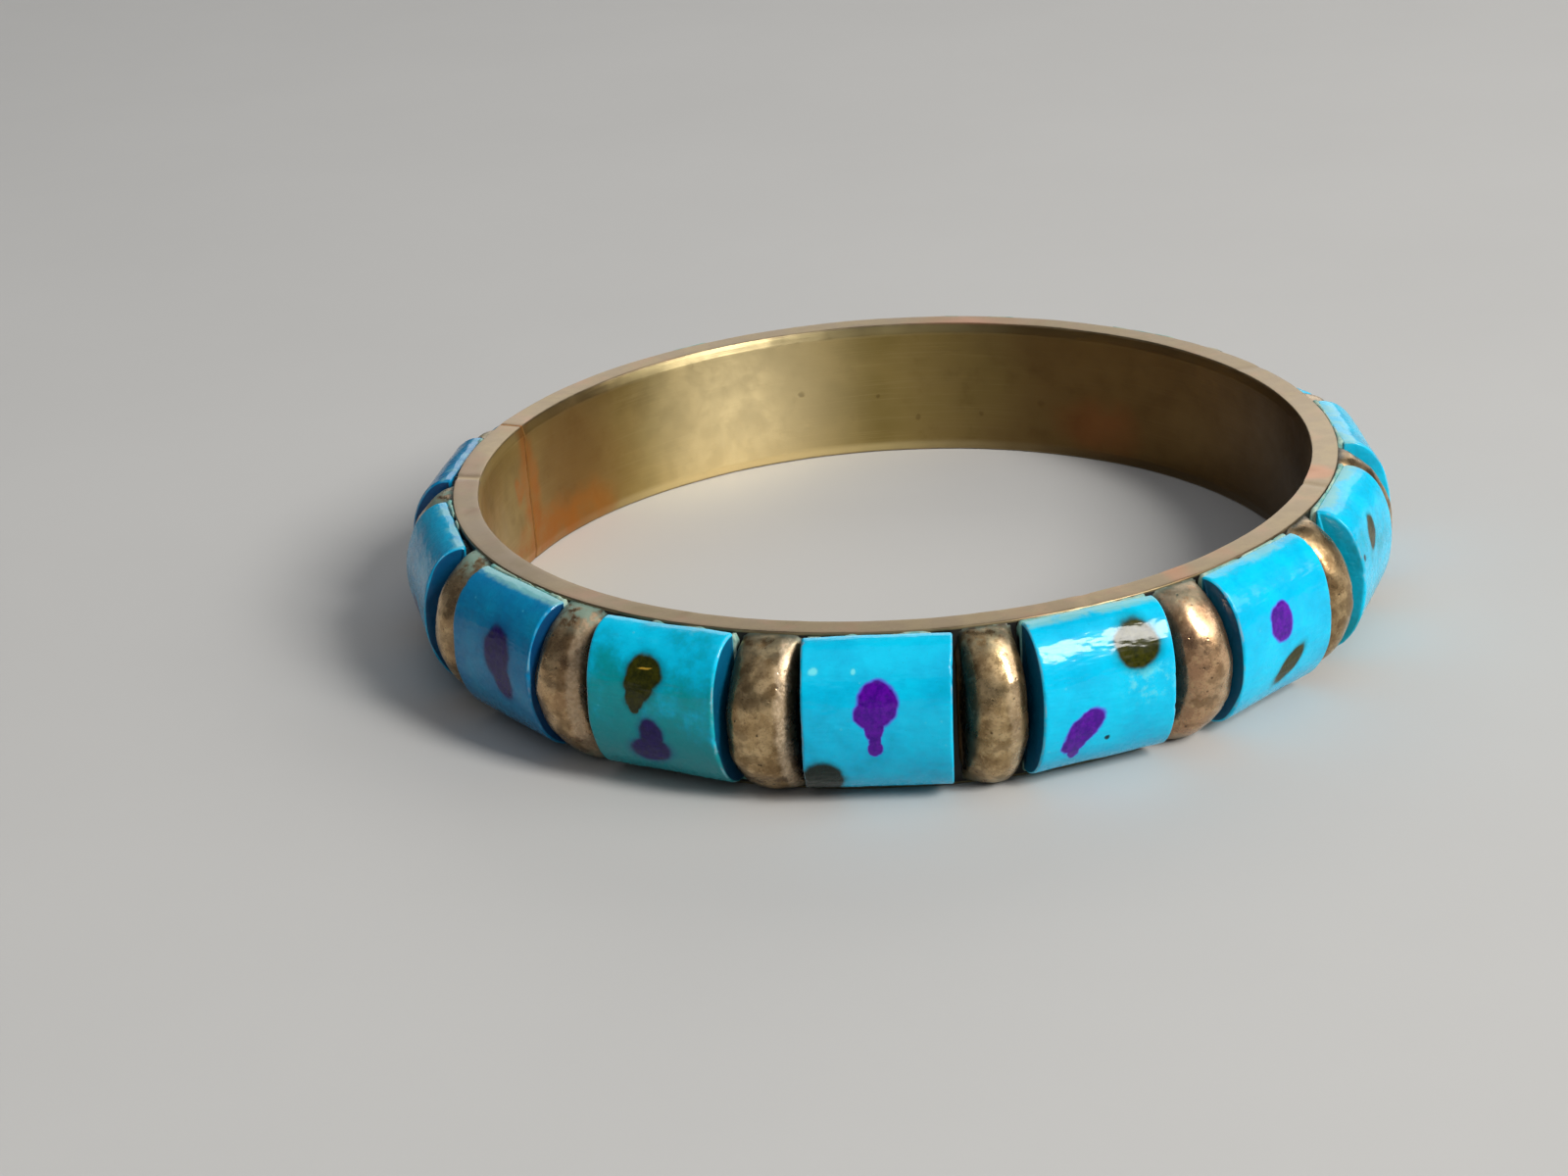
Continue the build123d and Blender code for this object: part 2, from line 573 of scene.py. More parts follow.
# For each kind of blot, the softness of its edge, how far its stain spreads, the share and colour
# of the stain, and the two colours that its ink varies between
BLOTS = {
    "cloud": (0.5, 1.0, 0.0, (0, 0, 0), (95, 212, 232), (95, 212, 232)),
    "olive": (0.12, 1.18, 0.5, (0, 92, 96), (34, 38, 2), (58, 58, 4)),
    "moss": (0.12, 1.12, 0.5, (0, 80, 92), (4, 24, 20), (16, 38, 28)),
    # Purple ink painted darker as shade, for the tiles at the left
    "plum": (0.16, 1.16, 0.5, (10, 70, 130), (20, 2, 78), (34, 8, 100)),
    "purple": (0.05, 1.08, 0.9, (86, 74, 214), (62, 0, 132), (94, 4, 160)),
    "speck": (0.4, 1.1, 0.0, (0, 0, 0), (8, 34, 54), (8, 34, 54)),
    "pale": (0.4, 1.3, 0.3, (40, 200, 225), (110, 226, 240), (110, 226, 240)),
    # A small painted glint of light, in tan
    "scratch": (0.4, 1.1, 0.0, (0, 0, 0), (190, 150, 50), (190, 150, 50)),
}


def blot(g, place, spots, soft, spread=1.0, stretch=0.0):
    """A mask of spots given as (right, up, wide, high, turn), grown by spread and stretch."""
    masks = []
    for right, up, wide, high, turn in spots:
        size = (wide * spread + stretch, 1e6, high * spread + stretch)
        masks.append(g.spot(place, (right, 0, up), size, (0, -math.radians(turn), 0), soft))
    return g.most(masks)


def blotted(g, colour, look, ragged, shifted, fine):
    """Lays a tile's blots over its colour."""
    for kind, (soft, spread, share, stain, dark, light) in BLOTS.items():
        found = [spot[1:] for spot in look["spots"] if spot[0] == kind]
        if not found:
            continue
        core = blot(g, ragged, found, soft)
        if share:
            wide = blot(g, ragged, found, soft * 1.6, spread, 0.03)
            colour = g.mix(g.times(wide, share), colour, srgb(*stain))
        if kind == "cloud":
            mottle = g.step(g.noise(shifted, 1.6, 3.0, 0.7), 0.45, 0.7)
            core = g.times(core, mottle)
        ink = g.mix(g.step(fine, 0.35, 0.65), srgb(*dark), srgb(*light))
        colour = g.mix(core, colour, ink)
    return colour


def dyed(g, look, place, shifted, fine):
    """Cloudy blue and teal, deeper blue in patches and darker at the foot, partly dye and partly
    painted shade, with flecks and dust.
    """
    green, deep, foot_dye_and_shade = look["dye"]
    height = g.split(place, "Z")
    cloudy = g.noise(shifted, 0.28, 4.0, 0.6)
    colour = g.mix(g.step(cloudy, 0.35, 0.7), srgb(0, 203, 243), srgb(0, 182, 226))
    teal = g.plus(cloudy, g.times(fine, 0.25))
    teal = g.minus(teal, g.times(height, 0.05 * green))
    teal = g.step(teal, 0.72 - 0.4 * green, 1.05 - 0.4 * green, 0.0, 0.3 + 0.6 * green)
    colour = g.mix(teal, colour, srgb(0, 156, 158))
    # Deeper blue in patches, partly deeper dye and partly painted shade
    colour = g.mix(g.step(cloudy, 0.2, 0.6, 0.7 * deep, deep), colour, srgb(0, 112, 170))
    # Darker towards the foot, partly pooled dye and partly painted shade
    foot_darkening = g.plus(height, g.times(cloudy, 3.0))
    colour = g.mix(g.step(foot_darkening, 1.5, -4.5, 0.0, foot_dye_and_shade), colour, srgb(2, 44, 62))
    fleck = g.step(g.cells(shifted, 0.9), 0.05, 0.12, 1.0, 0.0)
    chance = g.split(g.cells(shifted, 0.9, out="Color"), "X")
    fleck = g.times(fleck, g.step(chance, 0.72, 0.76))
    colour = g.mix(g.times(fleck, 0.5), colour, srgb(90, 210, 236))
    dust = g.noise(shifted, 6.5, 2.0, 0.6)
    colour = g.mix(g.step(dust, 0.64, 0.78, 0.0, 0.3), colour, srgb(0, 88, 124))
    return g.mix(g.step(dust, 0.36, 0.24, 0.0, 0.22), colour, srgb(40, 196, 226))


def chalky_top(g, look, place, shifted, fine):
    """How far the top edge shows pale and matt, in patches."""
    ragged_up = g.plus(g.split(place, "Z"), g.times(fine, 0.2))
    top = g.step(ragged_up, TILE_HIGH.z - 0.12, TILE_HIGH.z + 0.05)
    patchy = g.noise(shifted, 0.6, 3.0, 0.6)
    chalk = g.step(patchy, 0.62 - 0.35 * look["chalk"], 0.74 - 0.3 * look["chalk"])
    return g.times(g.times(top, chalk), 0.15 + 0.65 * look["chalk"])


def tile_paint(number, look):
    """Glossy dyed blue with blots of ink, sawn ends painted dark as shade and pale worn arrises."""
    g = Graph(f"tile_paint_{number:02d}")
    place = g.attribute("local")
    shifted = g.vector("ADD", place, (11.0 * number, 7.0 * number, 3.0 * number))
    ragged = g.vector("ADD", place, g.wobble(shifted, 0.9, 0.5))
    fine = g.noise(shifted, 2.2, 4.0, 0.7)
    colour = blotted(g, dyed(g, look, place, shifted, fine), look, ragged, shifted, fine)
    # The sawn ends, in the gaps beside the spacers, are painted dark as shade, and worn arrises show
    # the pale body
    sawn = g.step(g.attribute("sawn", "Fac"), 0.5, 0.95)
    # Painted shade on the sawn ends, weaker on the tiles that list less of it
    grime = g.times(sawn, look.get("grime", 0.85))
    colour = g.mix(grime, colour, srgb(2, 36, 84))
    patchy = g.noise(shifted, 0.5, 5.0, 0.65)
    worn = g.step(g.attribute("wear", "Fac"), 0.6, 0.95)
    worn = g.times(worn, g.step(patchy, 0.46, 0.62))
    pale = g.mix(g.step(fine, 0.45, 0.6), srgb(130, 190, 208), srgb(168, 160, 172))
    colour = g.mix(g.times(worn, 0.65), colour, pale)
    chalk = chalky_top(g, look, place, shifted, fine)
    colour = g.mix(chalk, colour, srgb(140, 204, 198))
    rough = g.step(g.noise(shifted, 1.4, 3.0), 0.3, 0.8, 0.22, 0.38)
    rough = g.plus(rough, g.times(g.most([worn, chalk, sawn]), 0.3))
    # Grinding marks run along the tile under the polish
    swell = g.times(g.noise(shifted, 0.5, 2.0), 0.5)
    ground = g.noise(g.vector("MULTIPLY", shifted, (0.4, 1.0, 1.4)), 1.5, 1.5, 0.6)
    ripple = g.bump(g.plus(swell, g.times(ground, 0.5)), 0.00016, 0.6)
    return g.finish(
        Base_Color=colour,
        Roughness=rough,
        Normal=ripple,
        Specular_IOR_Level=0.1,
        Coat_Weight=0.38,
        Coat_Roughness=0.09,
        Coat_Normal=ripple,
    )


# -------------------- cement


def cement_piece(number):
    """The bed behind a tile, with a top edge that sinks or squeezes out along its length."""
    full, uneven = (TILES.get(number) or drawn_look(number))["cement"]
    rings, fullness = [], []
    for share in np.linspace(-1, 1, 57):
        right = share * (TILE_REACH - 0.15)
        here = np.array([[right, 0, 0]])
        swell = lumps(here, 2.6, 300 + number)[0] * uneven + lumps(here, 0.8, 340 + number)[0] * 0.08
        filled = np.clip(full + swell, 0, 1)
        inner = math.sqrt(OUTER**2 - right**2) - BEDDED
        outer = OUTER + TILE_BACK_GAP + 0.08
        sunk = 0.55 * (1 - filled) + 0.4 * smoothstep(abs(share), 0.97, 1.0)
        level = TILE_HIGH.z - 0.08 + 0.06 * filled - sunk
        foot = TILE_LOW.z + 0.35 - 0.25 * filled
        middle, half = (inner + outer) / 2, (outer - inner) / 2
        arc = np.linspace(0, math.pi, 9)
        crown = 0.22 * filled
        top = np.column_stack([middle - half * np.cos(arc), level + crown * np.sin(arc)])
        bottom = np.column_stack([middle + half * np.cos(arc), foot - 0.08 * np.sin(arc)])
        section = np.vstack([top, bottom])
        rings.append(np.column_stack([np.full(len(section), right), section]))
        fullness.append(filled)
    points, faces, body = capped(rings, (0.6,))
    mint = np.zeros(len(points))
    mint[body] = np.repeat(fullness, len(rings[0]))
    points[:, 2] = np.minimum(points[:, 2], HALF - 0.04)
    name = f"cement_bed_{number:02d}"
    turn = (number - 1) * PITCH
    piece = build(name, at(points, turn), faces, points + (30.0 * number, 0, 0), mint=mint)
    finish_piece(piece, "cement", cement_paint(), f"tile_glue_{number:02d}")


def cement_paint():
    """Pale green cement where it is squeezed out, and painted dark as shade where it is sunk in the
    groove.
    """
    if "cement_paint" in bpy.data.materials:
        return bpy.data.materials["cement_paint"]
    g = Graph("cement_paint")
    place = g.attribute("local")
    broad = g.noise(place, 0.5, 3.0, 0.6)
    fine = g.noise(place, 3.0, 4.0, 0.7)
    pale = g.mix(g.step(broad, 0.4, 0.62), srgb(110, 172, 164), srgb(176, 196, 176))
    pale = g.mix(g.step(fine, 0.55, 0.75, 0.0, 0.7), pale, srgb(60, 88, 84))
    # Where the cement is sunk in the groove it is painted dark as shade
    dark = g.mix(g.step(fine, 0.4, 0.7), srgb(8, 18, 24), srgb(14, 40, 50))
    full = g.plus(g.attribute("mint", "Fac"), g.times(broad, 0.6))
    colour = g.mix(g.step(full, 0.85, 1.15), dark, pale)
    return g.finish(Base_Color=colour, Roughness=0.55, Normal=g.bump(fine, 0.00008, 0.8))


# -------------------- spacers


# Each spacer's shift to the right at its foot and at its crown, how green its ends are, how much
# wider it is than the rest, and how far its top end is filed down
SPACERS = {
    1: (0.05, 0.5, 0.3, 0.1, 0.0),
    2: (0.2, 0.75, 0.35, 0.2, 0.0),
    3: (0.0, 0.2, 0.1, 0.0, 0.0),
    4: (0.0, 0.1, 0.1, 0.0, 0.0),
    12: (0.1, 0.2, 0.9, 0.0, 0.2),
    13: (0.0, -0.2, 1.0, 0.0, 0.0),
    14: (-0.45, -1.4, 0.9, 0.15, 0.0),
    15: (-0.1, -0.65, 0.25, 0.65, 0.0),
}

# Where the painted highlight down a spacer's right shoulder starts and how strong it is, where not the
# usual
SPACER_SHOULDER_SHEEN = {1: (1.1, 0.35), 2: (1.1, 0.25), 3: (1.1, 0.3), 14: (0.35, 0.5), 15: (1.1, 0.75)}

# How rosy a spacer's brass is, where it isn't the usual
SPACER_ROSY = {1: 0.1, 2: 1.0, 3: 0.2, 14: 0.5, 15: 0.15}


def spacer_set(number):
    """How a spacer sits, listed or drawn from its number."""
    if number in SPACERS:
        return SPACERS[number]
    draw = np.random.default_rng(500 + number)
    foot = draw.uniform(-0.2, 0.2)
    crown = foot + draw.uniform(-0.35, 0.35)
    low = 0.75 if number in LOWEST_SPACERS else 0.4
    return foot, crown, draw.uniform(0.1, 0.9), 0.0, draw.uniform(low - 0.1, low)


def spacer_ring(swing, axis, arm, half, foot, floor, dome_depth):
    """One section of the bar at a swing from level, with the crest's share at each point."""
    across = np.sin(np.linspace(-math.pi / 2, math.pi / 2, 33))
    dome = dome_depth * (1 - np.clip(1 - np.abs(across) ** 2.1, 0, 1) ** (1 / 2.1))
    least = (floor - axis) / math.cos(swing)
    right = across * half
    reach = np.maximum(arm - dome, least)
    down = np.linspace(0, 1, 5)[1:]
    right = np.concatenate(
        [
            right,
            half + (foot - half) * down,
            foot * np.array([0.5, 0.0, -0.5]),
            -foot + (foot - half) * (1 - down[::-1]),
        ]
    )
    side = reach[-1] + (least - reach[-1]) * down
    reach = np.concatenate([reach, side, np.full(3, least), side[::-1]])
    crest = np.concatenate([1 - np.abs(across), np.zeros(len(reach) - len(across))])
    ring = np.column_stack([right, axis + reach * math.cos(swing), reach * math.sin(swing)])
    return ring, crest * math.cos(swing)


def spacer_piece(number):
    """A cast half-round bar: a domed section swung about a level axis inside the band."""
    draw = np.random.default_rng(700 + number)
    foot_shift, crown_shift, green, wider, filed = spacer_set(number)
    crown = SPACER_CROWN - 0.02 - draw.uniform(0, 0.12)
    rise = crown - OUTER - SPACER_END_STEP
    arm = (SPACER_TOP**2 + rise**2) / (2 * rise)
    axis = crown - arm
    half = SPACER_HALF + wider / 2 - draw.uniform(0, 0.08)
    floor = OUTER - BEDDED
    last = math.acos((floor - axis + 0.02) / arm)
    rings, crests = [], []
    for share in np.linspace(-1, 1, 73):
        narrow = 1 - 0.14 * abs(share) ** 2.2
        foot = 0.92 * (half - wider / 2) * narrow
        dome = SPACER_DOME * (1 - 0.45 * share**2)
        ring, crest = spacer_ring(last * share, axis, arm, half * narrow, foot, floor, dome)
        rings.append(ring)
        crests.append(crest)
    points, faces, body = capped(rings, (0.5,))
    crest = np.zeros(len(points))
    crest[body] = np.concatenate(crests)
    # Casting and filing leave it lumpy
    out = points - (0, axis + 2.0, 0)
    out /= np.linalg.norm(out, axis=1, keepdims=True)
    lumpy = 0.05 * lumps(points, 3.2, 720 + number) + 0.012 * lumps(points, 1.3, 750 + number)
    free = smoothstep(points[:, 1], floor, floor + 0.4)
    points += out * ((lumpy - 0.04) * free)[:, None]
    # The ends are filed nearly flat, level with the rim, with a soft edge
    soft = 0.35
    top = SPACER_TOP - 0.02 - filed * (points[:, 2] > 0)
    over = np.clip(np.abs(points[:, 2]) - (top - soft), 0, None)
    level = np.abs(points[:, 2]) - over + soft * (1 - np.exp(-over / soft))
    points[:, 2] = np.sign(points[:, 2]) * level
    points[:, 1] = np.clip(points[:, 1], floor, SPACER_CROWN - 0.01)
    height = (points[:, 1] - OUTER) / (SPACER_CROWN - OUTER)
    points[:, 0] += foot_shift + (crown_shift - foot_shift) * height
    points[:, 0] += draw.uniform(-0.03, 0.03) * points[:, 2]
    # The foot follows the round of the band
    sink = OUTER - np.sqrt(OUTER**2 - points[:, 0] ** 2)
    points[:, 1] -= sink * (1 - smoothstep(points[:, 1], floor, floor + 0.8))
    ends = green * smoothstep(np.abs(points[:, 2]), top - 1.7, top - 0.1)
    name = f"brass_spacer_{number:02d}"
    turn = (number - 0.5) * PITCH
    piece = build(name, at(points, turn), faces, points, crest=crest, ends=ends)
    finish_piece(piece, "spacer_brass", spacer_paint(number), f"spacer_{number:02d}")


def cast_brass(g, number, crest, broad, middle):
    """Brown brass, lighter towards bronze at the crest as rubbed wear and painted highlight, with the
    number's share of rose.
    """
    # Lighter at the crest, partly rubbed wear and partly painted highlight
    rub_and_sheen = g.plus(crest, g.times(g.minus(broad, 0.5), 1.6))
    rub_and_sheen = g.plus(rub_and_sheen, g.times(g.minus(middle, 0.5), 1.2))
    brown = g.mix(g.step(middle, 0.38, 0.62), srgb(128, 104, 68), srgb(152, 126, 86))
    bronze = g.mix(g.step(middle, 0.38, 0.64), srgb(186, 158, 112), srgb(212, 184, 138))
    colour = g.mix(g.step(rub_and_sheen, 0.0, 0.9), brown, bronze)
    rosy = SPACER_ROSY.get(number, 0.3)
    return g.mix(rosy, colour, g.mix(0.5, colour, srgb(204, 156, 126)))


def painted_shoulder_sheen(g, number, place, middle, fine):
    """How far a strip along the right shoulder is painted pale as a highlight, on some only faintly."""
    start, sheen = SPACER_SHOULDER_SHEEN.get(number, (1.1, 0.1))
    right = g.plus(g.split(place, "X"), g.times(middle, 0.8))
    shoulder = g.step(right, start, start + 0.4)
    shoulder = g.times(shoulder, g.step(right, start + 1.2, start + 0.7))
    return g.times(shoulder, g.step(fine, 0.35, 0.6, sheen, 0.5 * sheen))


def spacer_paint(number):
    """Cast brass, brown with tarnish, lighter on the crown as rubbed wear and painted highlight, with a
    painted highlight down the right shoulder, darker at the foot as dirt and painted shade, and green
    at the ends.
    """
    g = Graph(f"spacer_paint_{number:02d}")
    place = g.attribute("local")
    shifted = g.vector("ADD", place, (5.0 * number, 9.0 * number, 2.0 * number))
    broad = g.noise(shifted, 0.35, 3.0, 0.55)
    middle = g.noise(shifted, 0.9, 3.0, 0.55)
    fine = g.noise(shifted, 4.0, 3.0, 0.6)
    colour = cast_brass(g, number, g.attribute("crest", "Fac"), broad, middle)
    tarnish = g.step(g.noise(shifted, 0.7, 3.0, 0.55), 0.48, 0.62)
    colour = g.mix(g.times(tarnish, 0.5), colour, srgb(100, 76, 47))
    grain = g.step(g.noise(shifted, 5.0, 4.0, 0.7), 0.5, 0.66, 0.0, 0.4)
    colour = g.mix(grain, colour, srgb(84, 64, 40))
    pit = g.step(g.cells(shifted, 1.1), 0.06, 0.14, 0.7, 0.0)
    colour = g.mix(pit, colour, srgb(52, 40, 26))
    fleck = g.step(g.noise(shifted, 1.6, 2.0, 0.5), 0.62, 0.7, 0.0, 0.35)
    colour = g.mix(fleck, colour, srgb(210, 182, 136))
    # A painted highlight runs down the right shoulder
    shoulder = painted_shoulder_sheen(g, number, place, middle, fine)
    colour = g.mix(shoulder, colour, srgb(232, 206, 172))
    # Dirt and dye gather along the foot, and the foot is also painted dark as shade in the gaps beside
    # the tiles
    out = g.plus(g.split(place, "Y"), g.times(middle, 0.6))
    dirt_and_shade = g.step(out, OUTER + 0.8, OUTER + 0.3)
    colour = g.mix(g.times(dirt_and_shade, 0.8), colour, srgb(22, 32, 34))
    patches = g.step(g.noise(shifted, 1.0, 4.0, 0.7), 0.36, 0.54)
    crust = g.times(g.attribute("ends", "Fac"), patches)
    colour = g.mix(crust, colour, srgb(136, 164, 148))
    dull = g.most([crust, g.times(dirt_and_shade, 0.7)])
    rough = g.step(middle, 0.3, 0.75, 0.2, 0.34)
    rough = g.plus(rough, g.times(tarnish, 0.12))
    rough = g.math("ADD", rough, g.times(dull, 0.35), clamp=True)
    height = g.plus(g.times(middle, 0.6), g.times(fine, 0.1))
    height = g.minus(height, g.times(pit, 0.5))
    return g.finish(
        Base_Color=colour,
        Metallic=g.minus(0.9, g.times(g.most([dull, shoulder]), 0.8)),
        Roughness=rough,
        Normal=g.bump(height, 0.00009, 0.6),
    )


def solder_pads():
    """Lumpy fillets of solder round the spacers' feet, in one object."""
    swing = np.linspace(0, TURN, 64, endpoint=False)
    square_right = np.sign(np.cos(swing)) * np.abs(np.cos(swing)) ** 0.35
    square_up = np.sign(np.sin(swing)) * np.abs(np.sin(swing)) ** 0.35
    placed, patterns, faces = [], [], []
    for number in range(1, TILE_COUNT + 1):
        shift = spacer_set(number)[0]
        rim = []
        # Each ring's height over the band, and how much wider it is than the foot
        for level, grow in ((-BEDDED, 0.28), (0.08, 0.2), (0.2, 0.02), (0.2, -0.5)):
            right = shift + (SPACER_HALF - 0.35 + grow) * square_right
            up = (SPACER_TOP - 0.6 + grow) * square_up
            uneven = 0.08 * lumps(np.column_stack([right, 0 * up, up]), 1.5, 810 + number)
            right += uneven * np.cos(swing)
            up += uneven * np.sin(swing)
            rim.append(np.column_stack([right, np.sqrt(OUTER**2 - right**2) + level, up]))
        points, pad_faces, body = capped(rim, (0.5,))
        start = sum(len(pad) for pad in placed)
        placed.append(at(points, (number - 0.5) * PITCH))
        patterns.append(points + (30.0 * number, 0, 0))
        faces += [tuple(start + corner for corner in face) for face in pad_faces]
    piece = build("spacer_solder_pads", np.vstack(placed), faces, np.vstack(patterns))
    finish_piece(piece, "seam_solder", solder_paint("pad_paint", 0.85), "spacer_solder")


# -------------------- band


# Nicks in the top rim: degrees on from -Y, half width and depth in millimetres
NICKS = ((-86.9, 0.35, 0.1), (25.8, 0.4, 0.05), (72.3, 0.25, 0.06), (120, 0.4, 0.05), (-140, 0.4, 0.04))

# Pits in the bore: degrees on from -Y, height and reach in millimetres
PITS = (
    (-163.2, 0.3, 0.26),
    (-175.5, -0.6, 0.18),
    (178.3, -2.7, 0.24),
    (168.1, -2.4, 0.18),
    (158.3, -1.2, 0.3),
)


def band_outline():
    """The band's section as (out, up): up the bore with its flared lips, and round."""
    straight = STRAIGHT_WALL / 2
    corners = [
        (BORE, -straight),
        (BORE, straight),
        (BORE + LIP_FLARE, HALF),
        (OUTER, HALF),
        (OUTER, -HALF),
        (BORE + LIP_FLARE, -HALF),
    ]
    lip, inner, outer = 0.9, 0.13, 0.12
    return densify(rounded(corners, [lip, lip, inner, outer, outer, inner]), 0.4)


def band_piece():
    """A rolled ring with its ends at the seam, uneven by wear and nicked on the rim."""
    outline = band_outline()
    inward = pointing_in(outline)
    seam = SEAM_PITCH * PITCH
    gap = SEAM_HALF / BORE
    steps, edge = 720, 0.03 / BORE
    turns = np.linspace(seam + gap, seam + TURN - gap, steps + 1)
    turns = np.insert(turns, [1, steps], [turns[0] + edge, turns[-1] - edge])
    radius, up = np.tile(outline, (len(turns), 1)).T
    turn = np.repeat(turns, len(outline))
    spread = np.column_stack([radius * np.sin(turn), -radius * np.cos(turn), up])
    sink = np.clip(0.015 + 0.012 * lumps(spread, 8.0, 41) + 0.004 * lumps(spread, 2.0, 42), 0, 1)
    rim = up > HALF - 0.3
    for mark, wide, deep in NICKS:
        away = (turn - math.radians(mark)) * radius + 0.25 * (radius - BORE)
        sink += deep * np.exp(-((away / wide) ** 2) / 2) * rim
    # The ends at the seam are eased
    from_end = np.minimum(turn - turns[0], turns[-1] - turn) * BORE
    sink += 0.02 * (1 - smoothstep(from_end, 0, 0.25))
    section = np.column_stack([radius, up]) + np.tile(inward, (len(turns), 1)) * sink[:, None]
    radius, up = section.T
    placed = np.column_stack([radius * np.sin(turn), -radius * np.cos(turn), up])
    rings = placed.reshape(len(turns), len(outline), 3)
    points, faces, body = capped(list(rings), (0.9,))
    piece = build("brass_band", points, faces, points)
    finish_piece(piece, "band_brass", band_paint(), "band")


def band_mark(g, place, turn, up, reach, high, soft=0.35):
    """A mask for one mark on the band, at degrees on from -Y and a height, reach by high."""
    turn = math.radians(turn)
    centre = (BORE * math.sin(turn), -BORE * math.cos(turn), up)
    return g.spot(place, centre, (reach, OUTER - BORE, high), (0, 0, turn), soft)


def band_pits(g, place):
    """A mask of the pits, with ragged edges."""
    ragged = g.vector("ADD", place, g.wobble(place, 1.5, 0.3))
    return g.most([band_mark(g, ragged, turn, up, size, size, 0.5) for turn, up, size in PITS])


def seam_heat(g, drift, middle, seam):
    """How far soldering the seam has stained the brass beside it, most at its foot."""
    bleed = band_mark(g, drift, seam, 0.0, 1.3, 6.5, 0.5)
    foot = band_mark(g, drift, seam - 5.0, -4.6, 8.0, 2.2, 0.5)
    near = band_mark(g, drift, seam + 3.5, 1.0, 0.9, 1.0)
    heat = g.times(g.most([foot, near]), g.step(middle, 0.3, 0.6, 0.4, 0.85))
    return g.most([heat, g.times(bleed, g.step(middle, 0.3, 0.6, 0.6, 0.9))])


def bore_colour(g, place, drift, brushed, middle, pits):
    """Brushed brass, painted palest at the lips as a highlight, with a stretch painted dark as shade
    and one painted bright as a reflection, and a stained seam.
    """
    broad = g.noise(place, 0.1, 3.0, 0.55)
    bore = g.mix(g.step(broad, 0.36, 0.64), srgb(158, 138, 82), srgb(190, 166, 104))
    bore = g.mix(g.step(middle, 0.5, 0.75, 0.0, 0.3), bore, srgb(132, 108, 60))
    bore = g.mix(g.step(brushed, 0.5, 0.7, 0.0, 0.2), bore, srgb(208, 186, 126))
    # The lips are painted palest as a highlight along the inner edge
    lip = g.math("ABSOLUTE", g.split(place, "Z"))
    lip = g.step(lip, STRAIGHT_WALL / 2 - 0.3, STRAIGHT_WALL / 2 + 0.3, 0.0, 0.7)
    bore = g.mix(lip, bore, srgb(226, 208, 154))
    # One stretch of the bore, facing away from the light, is painted darkest as shade,
    shade_turn = math.radians(112)
    towards = (math.sin(shade_turn), -math.cos(shade_turn), 0)
    dark = g.vector("DOT_PRODUCT", place, towards, out="Value")
    dark = g.plus(dark, g.times(g.minus(broad, 0.5), 16.0))
    bore = g.mix(g.step(dark, 6.0, 25.0, 0.0, 0.88), bore, srgb(84, 60, 34))
    # and one a quarter of the way round from it is painted brightest as a reflection of the light
    painted_reflection = band_mark(g, place, -153.5, 0.0, 8.0, 12.0, 0.95)
    bore = g.mix(g.times(painted_reflection, 0.95), bore, srgb(248, 226, 172))
    seam = math.degrees(SEAM_PITCH * PITCH)
    brown = band_mark(g, drift, seam - 12.0, 0.0, 6.5, 9.0, 0.9)
    bore = g.mix(g.times(brown, 0.75), bore, srgb(134, 94, 48))
    bore = g.mix(seam_heat(g, drift, middle, seam), bore, srgb(192, 122, 50))
    bore = g.mix(g.times(pits, 0.35), bore, srgb(84, 62, 34))
    red = band_mark(g, drift, 148.6, -2.6, 3.2, 2.0, 0.8)
    return g.mix(g.times(red, 0.35), bore, srgb(132, 66, 36))


def rim_colour(g, place, drift, middle, fine):
    """Duller, rosy brass with one stretch darkened as dull brass and painted shade, and a few orange
    patches.
    """
    worn = g.mix(g.step(middle, 0.36, 0.66), srgb(140, 122, 94), srgb(164, 146, 114))
    rosy = g.step(g.noise(place, 0.22, 4.0, 0.65), 0.5, 0.7, 0.0, 0.5)
    worn = g.mix(rosy, worn, srgb(172, 134, 110))
    # A stretch of the rim at the left is darker, partly duller brass and partly painted shade
    dull = band_mark(g, drift, -72.0, HALF, 20.0, 1.5, 0.8)
    worn = g.mix(g.times(dull, 0.45), worn, srgb(104, 88, 70))
    worn = g.mix(g.step(fine, 0.6, 0.74, 0.0, 0.4), worn, srgb(100, 84, 62))
    orange = [
        band_mark(g, drift, 76.3, HALF, 1.4, 1.5, 0.4),
        band_mark(g, drift, 38.8, HALF, 1.0, 1.5, 0.8),
        band_mark(g, drift, 170.0, HALF, 4.0, 1.5, 0.8),
    ]
    return g.mix(g.times(g.most(orange), 0.5), worn, srgb(184, 122, 88))


